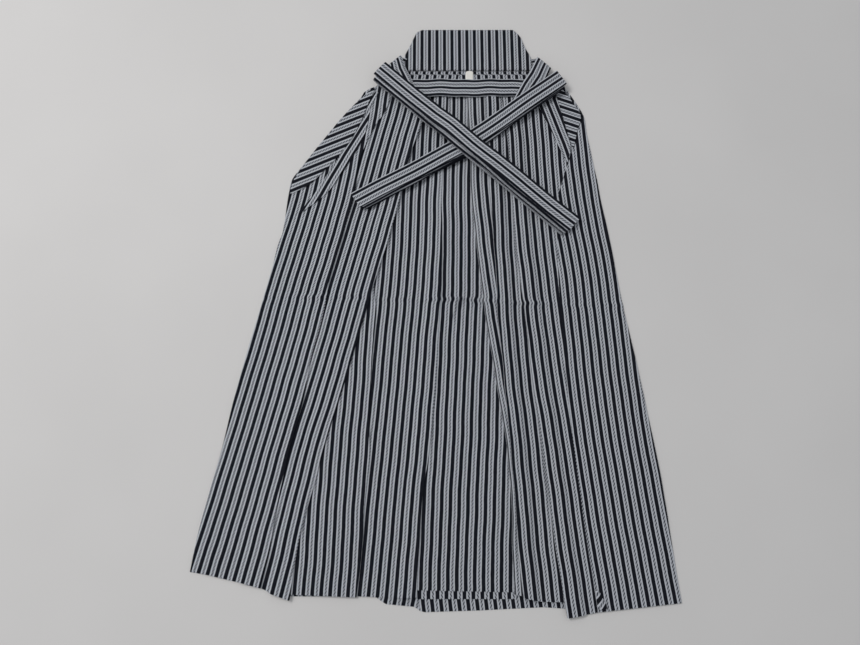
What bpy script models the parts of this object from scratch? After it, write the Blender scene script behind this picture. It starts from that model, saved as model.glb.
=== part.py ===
"""Pleated formal trousers (hakama) laid flat on their back, front side up, with the ties folded and crossed.

+X runs to the right seen from above, +Y towards the waist, +Z up. The cloth rests on z = 0.
Left and right are as seen from above. The pile is counted in levels, one layer of cloth and its gap each.
"""

import math

import bpy
from mathutils import Vector

CLOTH = 0.0011  # thickness of one layer of the woven cloth
GAP = 0.0003  # air between two layers
LEVEL = CLOTH + GAP
TIE_CLOTH = 0.0014  # a tie is the cloth folded on itself, pressed flat
TIE_LEVEL = TIE_CLOTH + GAP
TIE_WIDTH = 0.034
BACK_TIE_WIDTH = 0.036

BOARD_THICK = 0.005
BOARD_ROUND = 0.0012
BAND_THICK = 0.0018
BAND_BOTTOM = 0.3995
BAND_TOP = 0.4365
BAND_LEFT = -0.0545
BAND_RIGHT = 0.1830
BAND_MIDDLE = 0.0113  # height of the middle of the band, on top of the pleats
BAND_STEPS = 10
WAIST_LIFT = 0.0006  # the front is raised this much over the tab's end
LIFT_FROM = 0.33
LIFT_TO = 0.38
TAB_WIDTH = 0.015
TAB_THICK = 0.0014
TAB_TOP = (0.0705, 0.4606)
TAB_END = (0.0680, 0.3930)

HEM = -0.510  # nominal hem: each fold lies this much above or below it
SLOPE_FROM = -0.280  # above this line the rows of cloth run level

# Where the edges of the front lie: y, sides of the front, the edge of each pleat from left to right, and the
# share of its full depth that the outer left pleat has there.
FRONT_COLUMNS = ("y", "left", "p1", "p2", "p3", "p4", "p5", "p6", "p7", "right", "p1_depth")
FRONT_ROWS = (
    (0.430, -0.112, -0.075, -0.004, -0.008, 0.028, 0.065, 0.098, 0.131, 0.235, 0.4),
    (0.380, -0.131, -0.093, -0.015, -0.019, 0.026, 0.065, 0.099, 0.134, 0.246, 0.4),
    (0.330, -0.149, -0.120, -0.029, -0.033, 0.022, 0.067, 0.101, 0.139, 0.2565, 0.3),
    (0.295, -0.170, -0.134, -0.041, -0.045, 0.020, 0.068, 0.102, 0.142, 0.2645, 0.4),
    (0.260, -0.192, -0.1445, -0.051, -0.055, 0.017, 0.069, 0.104, 0.144, 0.2560, 0.6),
    (0.200, -0.228, -0.151, -0.062, -0.066, 0.014, 0.071, 0.106, 0.147, 0.2370, 1.0),
    (0.120, -0.284, -0.171, -0.083, -0.087, 0.014, 0.077, 0.110, 0.150, 0.2320, 1.0),
    (0.040, -0.303, -0.191, -0.106, -0.110, 0.013, 0.084, 0.113, 0.156, 0.2290, 1.0),
    (-0.040, -0.321, -0.203, -0.127, -0.107, 0.009, 0.093, 0.115, 0.165, 0.2320, 1.0),
    (-0.120, -0.340, -0.222, -0.148, -0.112, 0.005, 0.105, 0.122, 0.172, 0.2350, 1.0),
    (-0.200, -0.357, -0.235, -0.172, -0.116, -0.001, 0.116, 0.127, 0.180, 0.2380, 1.0),
    (-0.280, -0.371, -0.253, -0.193, -0.114, -0.010, 0.126, 0.132, 0.187, 0.2440, 1.0),
    (-0.360, -0.388, -0.268, -0.214, -0.119, -0.021, 0.132, 0.138, 0.197, 0.2520, 1.0),
    (-0.440, -0.403, -0.279, -0.234, -0.124, -0.027, 0.132, 0.141, 0.208, 0.2620, 1.0),
    (HEM, -0.4115, -0.292, -0.242, -0.131, -0.031, 0.133, 0.147, 0.219, 0.2710, 1.0),
)

# One point of the folded section each: edge it hangs from, offset from it, level in the pile, rise of its hem.
# Two points at one place turn the cloth over.
LEFT_FOLDS = (
    ("left", 0.000, 1, 0.028),
    ("left", 0.006, 1, 0.027),
    ("p1", -0.042, 1, 0.011),
    ("p1", -0.028, 3, 0.008),
    ("p1", 0.000, 3, 0.001),
    ("p1", 0.000, 2, 0.003),
    ("p1", -0.025, 2, 0.006),
    ("p1", -0.025, 1, 0.006),
    ("p1", 0.001, 1, 0.001),
    ("p2", -0.041, 1, -0.003),
    ("p2", -0.031, 5, -0.008),
    ("p2", 0.000, 5, -0.018),
    ("p2", 0.000, 4, -0.015),
    ("p2", -0.028, 4, -0.008),
    ("p2", -0.028, 3, -0.008),
    ("p3", 0.000, 3, -0.013),
    ("p3", 0.000, 2, -0.012),
    ("p3", -0.020, 2, -0.011),
    ("p3", -0.020, 1, -0.011),
    ("p4", -0.034, 1, -0.014),
    ("p4", -0.022, 4, -0.014),
    ("p4", 0.000, 4, -0.013),
    ("p4", 0.000, 3, -0.010),
    ("p4", -0.018, 3, -0.004),
    ("p4", -0.018, 2, -0.002),
    ("p4", 0.006, 2, -0.002),
    ("p5", -0.014, 2, -0.005),
    ("p5", 0.030, 2, -0.006),
)
RIGHT_FOLDS = (
    ("p5", 0.028, 3, -0.006),
    ("p5", 0.000, 3, -0.006),
    ("p5", 0.000, 4, -0.009),
    ("p6", 0.008, 4, -0.012),
    ("p6", 0.020, 4, -0.012),
    ("p6", 0.020, 5, -0.012),
    ("p6", 0.000, 5, -0.012),
    ("p6", 0.000, 6, -0.014),
    ("p6", 0.021, 6, -0.018),
    ("p6", 0.031, 2, -0.020),
    ("p7", 0.006, 2, -0.021),
    ("p7", 0.022, 2, -0.021),
    ("p7", 0.022, 3, -0.028),
    ("p7", 0.000, 3, -0.032),
    ("p7", 0.000, 4, -0.046),
    ("p7", 0.024, 4, -0.042),
    ("p7", 0.035, 1, -0.040),
    ("right", -0.006, 1, -0.038),
    ("right", 0.000, 1, -0.037),
)

# The back lies under it all: y, its left side, the centre seam, its right side, and how far the cloth that
# folds over its right side comes back across the front.
BACK_COLUMNS = ("y", "left", "seam", "right", "over")
BACK_ROWS = (
    (0.4608, -0.0585, 0.050, 0.1950, 0.1915),
    (0.430, -0.1070, 0.046, 0.2540, 0.2505),
    (0.424, -0.1240, 0.045, 0.2580, 0.2545),
    (0.400, -0.1460, 0.042, 0.2730, 0.2695),
    (0.360, -0.1800, 0.038, 0.2925, 0.2890),
    (0.330, -0.2020, 0.034, 0.2950, 0.2790),
    (0.295, -0.2270, 0.030, 0.3000, 0.2710),
    (0.260, -0.2510, 0.026, 0.3055, 0.2566),
    (0.225, -0.2735, 0.023, 0.3110, 0.2455),
    (0.200, -0.2770, 0.020, 0.3140, 0.2376),
    (0.120, -0.2855, 0.013, 0.3270, 0.2326),
    (0.040, -0.3040, 0.006, 0.3370, 0.2296),
    (-0.040, -0.3225, -0.001, 0.3480, 0.2326),
    (-0.120, -0.3415, -0.006, 0.3620, 0.2356),
    (-0.200, -0.3585, -0.011, 0.3740, 0.2386),
    (-0.280, -0.3725, -0.016, 0.3860, 0.2446),
    (-0.360, -0.3890, -0.020, 0.3960, 0.2526),
    (-0.440, -0.4040, -0.023, 0.4040, 0.2626),
    (HEM, -0.4128, -0.026, 0.4120, 0.2716),
)
# Hem of the back: x, rise above the nominal hem.
BACK_HEM = (
    (-0.420, 0.028),
    (-0.292, 0.006),
    (-0.245, -0.012),
    (-0.100, -0.012),
    (-0.083, -0.024),
    (-0.028, -0.029),
    (-0.025, -0.037),
    (0.075, -0.034),
    (0.181, -0.029),
    (0.228, -0.032),
    (0.300, -0.033),
    (0.415, -0.021),
)
OVER_HEM = ((0.271, -0.037), (0.415, -0.022))
BACK_STEPS = 12  # strips of facets across each half of the back
OVER_STEPS = 3

# The gusset between the legs: y, left edge, right edge, level at each edge.
GUSSET_ROWS = (
    (0.100, 0.040, 0.062, 1, 1),
    (-0.050, 0.020, 0.078, 1, 1),
    (-0.200, 0.000, 0.098, 1, 1),
    (-0.350, -0.014, 0.116, 1, 1),
    (-0.450, -0.024, 0.128, 1, 1),
    (-0.526, -0.030, 0.136, 1, 1),
)
GUSSET_STEPS = 3

# Turned-in edges of the side slits, each lying on its panel: y, left edge, right edge, level at each edge.
BACK_LEFT_TURN = (
    (0.422, -0.1225, -0.1165, 1, 1),
    (0.385, -0.1570, -0.1310, 1, 1),
    (0.357, -0.1795, -0.1410, 1, 1),
    (0.331, -0.1990, -0.1515, 1, 1),
    (0.309, -0.2150, -0.1630, 1, 1),
    (0.287, -0.2305, -0.1765, 1, 1),
    (0.264, -0.2465, -0.1955, 1, 1),
    (0.242, -0.2605, -0.2150, 1, 1),
    (0.215, -0.2725, -0.2430, 1, 1),
    (0.200, -0.2755, -0.2700, 1, 1),
)
BACK_RIGHT_TURN = (
    (0.428, 0.2380, 0.2480, 1, 1),
    (0.400, 0.2430, 0.2670, 1, 1),
    (0.360, 0.2515, 0.2865, 1, 1),
    (0.330, 0.2580, 0.2780, 1, 1),
    (0.297, 0.2660, 0.2700, 1, 1),
)
FRONT_LEFT_TURN = (
    (0.412, -0.1180, -0.1100, 2, 2),
    (0.381, -0.1300, -0.1240, 2, 2),
    (0.350, -0.1410, -0.1290, 2, 2),
    (0.315, -0.1570, -0.1360, 2, 4),
    (0.266, -0.1870, -0.1600, 2, 4),
    (0.234, -0.2060, -0.1810, 2, 4),
    (0.200, -0.2270, -0.2040, 2, 2),
    (0.175, -0.2440, -0.2320, 2, 2),
    (0.158, -0.2560, -0.2540, 2, 2),
)
FRONT_RIGHT_TURN = (
    (0.400, 0.1980, 0.2415, 2, 2),
    (0.375, 0.2080, 0.2470, 2, 2),
    (0.352, 0.2175, 0.2515, 2, 2),
    (0.319, 0.2310, 0.2580, 2, 2),
    (0.290, 0.2425, 0.2620, 2, 2),
    (0.264, 0.2545, 0.2562, 2, 2),
)
TURN_STEPS = 3

# Outline of the stiff back board, from its lower left corner round to the right.
BOARD_OUTLINE = (
    (-0.060, 0.4613),
    (0.196, 0.4613),
    (0.193, 0.4877),
    (0.169, 0.5424),
    (0.160, 0.5525),
    (-0.024, 0.5525),
    (-0.035, 0.5464),
    (-0.060, 0.4877),
)

# Each pair of ties is folded to and fro into a bundle. The middle line of a bundle: x, y.
LEFT_BUNDLE = ((-0.1063, 0.4560), (0.0770, 0.2900), (0.2626, 0.1340))
RIGHT_BUNDLE = ((0.2486, 0.4357), (0.0550, 0.2933), (-0.1483, 0.1807))
# Height of its underside: share of the way along, height.
LEFT_BASE = (
    (0.00, 0.0128),
    (0.17, 0.0128),
    (0.30, 0.0130),
    (0.38, 0.0194),
    (0.50, 0.0196),
    (0.60, 0.0190),
    (0.76, 0.0100),
    (0.88, 0.0065),
    (1.00, 0.0050),
)
RIGHT_BASE = (
    (0.00, 0.0128),
    (0.20, 0.0130),
    (0.38, 0.0113),
    (0.50, 0.0106),
    (0.70, 0.0098),
    (0.88, 0.0088),
    (1.00, 0.0066),
)
# Runs of a tie through its bundle: level, share of the way at its start and end, sideways shift at each.
LEFT_BACK_RUNS = ((0, 0.170, 0.985, -0.002, -0.013), (1, 0.985, 0.035, -0.013, -0.007))
LEFT_FRONT_RUNS = (
    (-1, 0.090, 0.012, -0.008, -0.008),
    (2, 0.012, 0.992, -0.008, -0.010),
    (3, 0.992, 0.000, -0.010, 0.000),
    (4, 0.000, 1.000, 0.000, 0.000),
)
RIGHT_BACK_RUNS = ((0, 0.240, 0.975, 0.004, 0.006), (1, 0.975, 0.035, 0.006, 0.004))
RIGHT_FRONT_RUNS = (
    (-1, 0.070, 0.012, 0.003, 0.003),
    (2, 0.012, 0.985, 0.003, 0.004),
    (3, 0.985, 0.000, 0.004, 0.000),
    (4, 0.000, 1.000, 0.000, 0.000),
)
TURN_REACH = 0.0012  # how far a turned end stands out
ROOT_GAP = 0.0006  # from the end of the band to the middle line of its tie

# Where a tie leaves the garment for its bundle: x, y, height of its middle, direction of its width in degrees.
LEFT_BACK_ROOT = (
    (-0.0793, 0.4742, 0.0133, 42.0),
    (-0.0733, 0.4552, 0.0136, 26.0),
    (-0.0634, 0.4345, 0.0136, 30.0),
)
RIGHT_BACK_ROOT = (
    (0.2177, 0.4706, 0.0128, -44.0),
    (0.2037, 0.4424, 0.0136, -36.0),
    (0.1878, 0.4175, 0.0138, -42.0),
)
LEFT_CORNER = ((-0.0637, 0.4700, 0.0062, 56.0), (-0.0795, 0.4774, 0.0085, 42.0))
RIGHT_CORNER = ((0.2000, 0.4680, 0.0062, -62.0), (0.2184, 0.4734, 0.0085, -44.0))
LEFT_FRONT_ROOT = ((BAND_LEFT - ROOT_GAP, (BAND_BOTTOM + BAND_TOP) / 2, BAND_MIDDLE, 90.0),)
RIGHT_FRONT_ROOT = ((BAND_RIGHT + ROOT_GAP, (BAND_BOTTOM + BAND_TOP) / 2, BAND_MIDDLE, -90.0),)


def named(columns, rows):
    """The rows of a table as dictionaries."""
    return [dict(zip(columns, row)) for row in rows]


def between(rows, at):
    """Value at a place in a table of (place, value) rows, which run upwards."""
    if at <= rows[0][0]:
        return rows[0][1]
    for (a, low), (b, high) in zip(rows, rows[1:]):
        if at <= b:
            return low + (high - low) * (at - a) / (b - a)
    return rows[-1][1]


def ease(value, start, end):
    """0 before start, 1 after end, straight in between."""
    return min(1.0, max(0.0, (value - start) / (end - start)))


def height(level, y):
    """Middle of the cloth on a level of the pile."""
    return CLOTH / 2 + level * LEVEL + WAIST_LIFT * ease(y, LIFT_FROM, LIFT_TO)


def sloped(y, rise):
    """A row near the hem follows the slope of the hem."""
    return y + rise * ease(-y, -SLOPE_FROM, -HEM)


def material(name, colour, roughness):
    made = bpy.data.materials.new(name)
    made.use_nodes = True
    shader = made.node_tree.nodes["Principled BSDF"]
    shader.inputs["Base Color"].default_value = (*colour, 1.0)
    shader.inputs["Roughness"].default_value = roughness
    return made


def add_body(name, points, faces, skin):
    """One named object from points and faces."""
    mesh = bpy.data.meshes.new(name)
    mesh.from_pydata([tuple(p) for p in points], [], faces)
    mesh.materials.append(skin)
    mesh.update()
    body = bpy.data.objects.new(name, mesh)
    bpy.context.scene.collection.objects.link(body)
    return body


def add_wall(name, sections, skin):
    """A closed wall. Each section lists pairs of points, one on the top face and one on the bottom face."""
    across = len(sections[0])
    points = []
    for section in sections:
        points += [top for top, bottom in section]
        points += [bottom for top, bottom in section]
    stride = 2 * across
    faces = []
    for row in range(len(sections) - 1):
        here = row * stride
        there = here + stride
        for i in range(across - 1):
            low, far = here + across + i, there + across + i
            faces.append((here + i, there + i, there + i + 1, here + i + 1))
            faces.append((low, low + 1, far + 1, far))
        end = across - 1
        faces.append((here, here + across, there + across, there))
        faces.append((here + end, there + end, there + end + across, here + end + across))
    last = (len(sections) - 1) * stride
    for i in range(across - 1):
        faces.append((i, i + 1, i + 1 + across, i + across))
        faces.append((last + i, last + i + across, last + i + 1 + across, last + i + 1))
    return add_body(name, points, faces, skin)


def thicken(path, thickness):
    """Pairs of points either side of a path that runs across the cloth in the XZ plane."""
    pairs = []
    for i, here in enumerate(path):
        before = path[max(i - 1, 0)]
        after = path[min(i + 1, len(path) - 1)]
        run_in = Vector((here.x - before.x, here.z - before.z))
        run_out = Vector((after.x - here.x, after.z - here.z))
        if run_in.length == 0.0:
            run_in = run_out.copy()
        if run_out.length == 0.0:
            run_out = run_in.copy()
        run_in.normalize()
        run_out.normalize()
        run = (run_in + run_out).normalized()
        reach = thickness / 2 / max(0.5, run.dot(run_in))
        side = Vector((-run.y, 0.0, run.x)) * reach
        pairs.append((here + side, here - side))
    return pairs


def folded_path(row, folds):
    """One section of pleated cloth: goes from point to point and turns over where two points share a place."""
    y = row["y"]
    path = []
    for i, (edge, offset, level, rise) in enumerate(folds):
        x = row[edge] + offset * row.get(edge + "_depth", 1.0)
        here = Vector((x, sloped(y, rise), height(level, y)))
        before = folds[max(i - 1, 0)]
        after = folds[min(i + 1, len(folds) - 1)]
        turn_in = i + 1 < len(folds) and after[:2] == (edge, offset)
        turn_out = i > 0 and before[:2] == (edge, offset)
        if turn_in or turn_out:
            towards = before if turn_in else after
            other = row[towards[0]] + towards[1] * row.get(towards[0] + "_depth", 1.0)
            inward = math.copysign(LEVEL / 2, other - x)
            here.x += inward
        path.append(here)
        if turn_in:
            middle = (level + after[2]) / 2
            path.append(Vector((x, sloped(y, (rise + after[3]) / 2), height(middle, y))))
    return path


def add_pleated(name, rows, folds, skin):
    return add_wall(name, [thicken(folded_path(row, folds), CLOTH) for row in rows], skin)


def add_sheet(name, rows, steps, skin):
    """A flat piece between a left and a right edge."""
    sections = []
    for y, left, right, left_level, right_level in rows:
        path = []
        for i in range(steps + 1):
            part = i / steps
            level = left_level + (right_level - left_level) * part
            path.append(Vector((left + (right - left) * part, y, height(level, y))))
        sections.append(thicken(path, CLOTH))
    return add_wall(name, sections, skin)


def add_back_left(name, skin):
    sections = []
    for row in named(BACK_COLUMNS, BACK_ROWS):
        path = []
        for i in range(BACK_STEPS + 1):
            x = row["left"] + (row["seam"] - GAP - row["left"]) * i / BACK_STEPS
            path.append(Vector((x, sloped(row["y"], between(BACK_HEM, x)), CLOTH / 2)))
        sections.append(thicken(path, CLOTH))
    return add_wall(name, sections, skin)


def add_back_right(name, skin):
    """The right half of the back, with the strip that folds over its side and lies on the front."""
    turn = LEVEL / 2
    sections = []
    for row in named(BACK_COLUMNS, BACK_ROWS):
        side = row["right"]
        path = []
        for i in range(BACK_STEPS + 1):
            x = row["seam"] + (side - turn - row["seam"]) * i / BACK_STEPS
            path.append(Vector((x, sloped(row["y"], between(BACK_HEM, x)), CLOTH / 2)))
        fold_y = sloped(row["y"], between(BACK_HEM, side))
        path.append(Vector((side, fold_y, CLOTH / 2 + turn)))
        for i in range(OVER_STEPS + 1):
            x = side - turn + (row["over"] - side + turn) * i / OVER_STEPS
            path.append(Vector((x, sloped(row["y"], between(OVER_HEM, x)), CLOTH / 2 + LEVEL)))
        sections.append(thicken(path, CLOTH))
    return add_wall(name, sections, skin)


def along(bundle, share):
    """Place on the middle line of a bundle."""
    first, middle, last = bundle
    a, b, part = (first, middle, 2 * share) if share < 0.5 else (middle, last, 2 * share - 1)
    return a[0] + (b[0] - a[0]) * part, a[1] + (b[1] - a[1]) * part


def bundle_rows(bundle, base, runs):
    """Sections of a tie that runs to and fro through its bundle."""
    first, last = bundle[0], bundle[-1]
    heading = math.atan2(last[1] - first[1], last[0] - first[0]) + math.pi / 2
    rows = []
    for level, start, end, shift_start, shift_end in runs:
        low, high = min(start, end), max(start, end)
        shares = [low] + [share for share, z in base if low < share < high] + [high]
        for share in shares if end > start else reversed(shares):
            part = (share - start) / (end - start)
            shift = shift_start + (shift_end - shift_start) * part
            x, y = along(bundle, share)
            x += shift * math.cos(heading)
            y += shift * math.sin(heading)
            z = between(base, share) + TIE_CLOTH / 2 + level * TIE_LEVEL
            rows.append((x, y, z, math.degrees(heading)))
    return rows


def add_ribbon(name, rows, width, thickness, skin):
    """A tie along rows of x, y, height and width direction. Two rows at one place turn it over."""
    places = [(Vector((x, y, z)), math.radians(degrees)) for x, y, z, degrees in rows]
    path = []
    for i, (here, angle) in enumerate(places):
        path.append((here, angle))
        if i + 1 < len(places) and i > 0:
            there, next_angle = places[i + 1]
            if (there - here).xy.length < TURN_REACH:
                outward = here - places[i - 1][0]
                outward.z = 0.0
                reach = min(TURN_REACH, abs(there.z - here.z) / 2)
                middle = (here + there) / 2 + outward.normalized() * reach
                path.append((middle, (angle + next_angle) / 2))
    sections = []
    for i, (here, angle) in enumerate(path):
        before = path[max(i - 1, 0)][0]
        after = path[min(i + 1, len(path) - 1)][0]
        cross = Vector((math.cos(angle), math.sin(angle), 0.0))
        up = (after - before).cross(cross).normalized() * thickness / 2
        half = cross * width / 2
        near, far = here - half, here + half
        sections.append([(near + up, near - up), (far + up, far - up)])
    return add_wall(name, sections, skin)


def add_band(name, skin):
    sections = []
    for y in (BAND_TOP, (BAND_TOP + BAND_BOTTOM) / 2, BAND_BOTTOM):
        path = []
        for i in range(BAND_STEPS + 1):
            x = BAND_LEFT + (BAND_RIGHT - BAND_LEFT) * i / BAND_STEPS
            path.append(Vector((x, y, BAND_MIDDLE)))
        sections.append(thicken(path, BAND_THICK))
    return add_wall(name, sections, skin)


def add_board(name, skin):
    """The stiff board: its outline stands up from the floor and is rounded over at the top."""
    count = len(BOARD_OUTLINE)
    middle = sum((Vector((x, y, 0.0)) for x, y in BOARD_OUTLINE), Vector()) / count
    rings = ((0.0, 0.0), (0.0, BOARD_THICK - BOARD_ROUND), (BOARD_ROUND, BOARD_THICK))
    points = []
    for inset, z in rings:
        for x, y in BOARD_OUTLINE:
            inward = (middle - Vector((x, y, 0.0))).normalized() * inset
            points.append(Vector((x, y, z)) + inward)
    faces = [tuple(reversed(range(count)))]
    for ring in range(len(rings) - 1):
        for i in range(count):
            here, there = ring * count + i, ring * count + (i + 1) % count
            faces.append((here, there, there + count, here + count))
    faces.append(tuple(range((len(rings) - 1) * count, len(rings) * count)))
    return add_body(name, points, faces, skin)


for old in list(bpy.data.objects):
    bpy.data.objects.remove(old)

stripe = material("striped_cloth", (0.12, 0.13, 0.16), 0.85)
tie_stripe = material("striped_tie_cloth", (0.10, 0.11, 0.14), 0.85)
tab_white = material("white_tab", (0.78, 0.76, 0.72), 0.5)

front = named(FRONT_COLUMNS, FRONT_ROWS)
add_back_left("back_left", stripe)
add_back_right("back_right", stripe)
add_sheet("gusset", GUSSET_ROWS, GUSSET_STEPS, stripe)
add_pleated("front_left", front, LEFT_FOLDS, stripe)
add_pleated("front_right", front, RIGHT_FOLDS, stripe)
add_sheet("back_slit_turn_left", BACK_LEFT_TURN, TURN_STEPS, stripe)
add_sheet("back_slit_turn_right", BACK_RIGHT_TURN, TURN_STEPS, stripe)
add_sheet("front_slit_turn_left", FRONT_LEFT_TURN, TURN_STEPS, stripe)
add_sheet("front_slit_turn_right", FRONT_RIGHT_TURN, TURN_STEPS, stripe)
add_board("back_board", stripe)
add_band("front_band", stripe)

tab_rows = [(*TAB_TOP, LEVEL + TAB_THICK / 2, 0.0), (*TAB_END, LEVEL + TAB_THICK / 2, 0.0)]
add_ribbon("back_tab", tab_rows, TAB_WIDTH, TAB_THICK, tab_white)

left_back = LEFT_CORNER + LEFT_BACK_ROOT + tuple(
    bundle_rows(LEFT_BUNDLE, LEFT_BASE, LEFT_BACK_RUNS)
)
right_back = RIGHT_CORNER + RIGHT_BACK_ROOT + tuple(
    bundle_rows(RIGHT_BUNDLE, RIGHT_BASE, RIGHT_BACK_RUNS)
)
left_front = LEFT_FRONT_ROOT + tuple(bundle_rows(LEFT_BUNDLE, LEFT_BASE, LEFT_FRONT_RUNS))
right_front = RIGHT_FRONT_ROOT + tuple(bundle_rows(RIGHT_BUNDLE, RIGHT_BASE, RIGHT_FRONT_RUNS))
add_ribbon("back_tie_left", left_back, BACK_TIE_WIDTH, TIE_CLOTH, tie_stripe)
add_ribbon("back_tie_right", right_back, BACK_TIE_WIDTH, TIE_CLOTH, tie_stripe)
add_ribbon("front_tie_left", left_front, TIE_WIDTH, TIE_CLOTH, tie_stripe)
add_ribbon("front_tie_right", right_front, TIE_WIDTH, TIE_CLOTH, tie_stripe)
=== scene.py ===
"""Looks of the pleated formal trousers (hakama): striped worsted cloth, stiff back board and folded ties.

The trousers lie flat, front side up. +X runs right seen from above, +Y towards the waist, +Z up.
Each panel of cloth is one thin closed shell through the same folds as its solid in the frame.
"""

import math

import bmesh
import bpy
import numpy as np
from bpy.props import FloatProperty, FloatVectorProperty, PointerProperty, StringProperty
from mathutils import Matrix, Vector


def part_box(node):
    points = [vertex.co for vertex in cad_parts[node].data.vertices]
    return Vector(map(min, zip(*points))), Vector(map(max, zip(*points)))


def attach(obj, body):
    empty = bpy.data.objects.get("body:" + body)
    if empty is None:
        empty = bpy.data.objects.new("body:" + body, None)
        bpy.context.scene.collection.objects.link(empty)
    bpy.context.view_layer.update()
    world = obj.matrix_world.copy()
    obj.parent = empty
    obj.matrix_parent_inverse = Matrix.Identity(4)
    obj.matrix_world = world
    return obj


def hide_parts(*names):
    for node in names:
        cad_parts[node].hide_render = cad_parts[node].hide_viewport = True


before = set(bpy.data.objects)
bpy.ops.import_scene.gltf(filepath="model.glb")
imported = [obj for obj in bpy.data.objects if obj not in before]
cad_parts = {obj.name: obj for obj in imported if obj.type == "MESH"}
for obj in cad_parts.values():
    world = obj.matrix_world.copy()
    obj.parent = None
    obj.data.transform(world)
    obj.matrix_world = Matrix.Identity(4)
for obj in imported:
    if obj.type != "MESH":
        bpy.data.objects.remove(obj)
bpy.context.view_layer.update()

bl_info = {
    "name": "Pleated striped trousers laid flat",
    "version": (1, 0, 0),
    "blender": (4, 5, 0),
    "location": "View3D > Sidebar > Hakama",
    "description": "Builds the cloth, board, ties and stage of a pair of hakama laid flat",
    "category": "Object",
}

BODY = "root"
STRIPE_MAP = "Stripes"  # across in repeats of the stripe, along in the same unit

REPEAT = 0.0150  # one repeat of the stripe across the cloth
LEVEL = 0.0014  # one layer of cloth with its air
SOLID_CLOTH = 0.0011  # thickness of a layer in the solids of the frame
WAIST_LIFT = 0.0006  # the front is raised this much over the end of the tab
LIFT_FROM, LIFT_TO = 0.33, 0.38  # and that lift grows between these two
HEM = -0.510  # nominal hem: the tables say how far each fold lies above or below it
SLOPE_FROM = -0.280  # above this line the rows of cloth run level

FINE = 0.0031  # spacing of points across cloth that shows
COARSE = 0.0100  # and across folds that lie hidden
ROW = 0.0085  # spacing of points along the cloth
SMALL_ROW = 0.005  # and along the small pieces
CORNER_ROW = 0.003  # and along the turned-up corner
FOLD_ROW = 0.0022  # and across the fold it was stored on
WAIST_ROW = 0.0008  # and just below the board
BACK_POINTS = 50  # points across each half of the back
OVER_POINTS = 40  # points across the strip that wraps over its side
TURN_POINTS = 6  # points round a folded edge

# The fold that the trousers were stored on: the stretch with closer rows, and the line that it follows.
STORAGE_BAND = (0.012, -0.048)
STORAGE_LINE = (
    (-0.34, -0.009), (-0.21, -0.005), (-0.03, -0.011), (0.04, -0.009), (0.16, -0.017), (0.34, -0.020),
)
STORAGE_KINK = 0.0016  # sideways jog of the stripes where they cross that fold
STORAGE_WIDTH = 0.0045  # how far along the stripes the jog reaches
PINCH_X, PINCH_WIDTH, PINCH_MORE = 0.06, 0.03, 1.6  # where the jog is largest, and by how much
CALM_WAIST = (0.36, 0.43)  # the cloth lies stiller and stiller between these two
CALM_FLOOR = 0.0034  # and below this height
WAIST_JOG = 0.50  # repeats that the stripes step aside where the back is gathered at the board's foot
WAIST_JOG_AT = (0.4528, 0.4544)
WAIST_FOOT = 0.004  # the close rows go on this far below that

# The front: y, its sides, the fold of each pleat from left to right, share of its depth that the outer left
# pleat has there.
FRONT_COLUMNS = ("y", "left", "p1", "p2", "p3", "p4", "p5", "p6", "p7", "right", "p1_depth")
FRONT_ROWS = (
    (0.430, -0.112, -0.075, -0.004, -0.008, 0.028, 0.065, 0.098, 0.131, 0.235, 0.4),
    (0.380, -0.131, -0.093, -0.015, -0.019, 0.026, 0.065, 0.099, 0.134, 0.246, 0.4),
    (0.330, -0.149, -0.120, -0.029, -0.033, 0.022, 0.067, 0.101, 0.139, 0.2565, 0.3),
    (0.295, -0.170, -0.134, -0.041, -0.045, 0.020, 0.068, 0.102, 0.142, 0.2645, 0.4),
    (0.260, -0.192, -0.1445, -0.051, -0.055, 0.017, 0.069, 0.104, 0.144, 0.2560, 0.6),
    (0.200, -0.228, -0.151, -0.062, -0.066, 0.014, 0.071, 0.106, 0.147, 0.2370, 1.0),
    (0.120, -0.284, -0.171, -0.083, -0.087, 0.014, 0.077, 0.110, 0.150, 0.2320, 1.0),
    (0.040, -0.303, -0.191, -0.106, -0.110, 0.013, 0.084, 0.113, 0.156, 0.2290, 1.0),
    (-0.040, -0.321, -0.203, -0.127, -0.107, 0.009, 0.093, 0.115, 0.165, 0.2320, 1.0),
    (-0.120, -0.340, -0.222, -0.148, -0.112, 0.005, 0.105, 0.122, 0.172, 0.2350, 1.0),
    (-0.200, -0.357, -0.235, -0.172, -0.116, -0.001, 0.116, 0.127, 0.180, 0.2380, 1.0),
    (-0.280, -0.371, -0.253, -0.193, -0.114, -0.010, 0.126, 0.132, 0.187, 0.2440, 1.0),
    (-0.360, -0.388, -0.268, -0.214, -0.119, -0.021, 0.132, 0.138, 0.197, 0.2520, 1.0),
    (-0.440, -0.403, -0.279, -0.234, -0.124, -0.027, 0.132, 0.141, 0.208, 0.2620, 1.0),
    (HEM, -0.4115, -0.292, -0.242, -0.131, -0.031, 0.133, 0.147, 0.219, 0.2710, 1.0),
)

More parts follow.
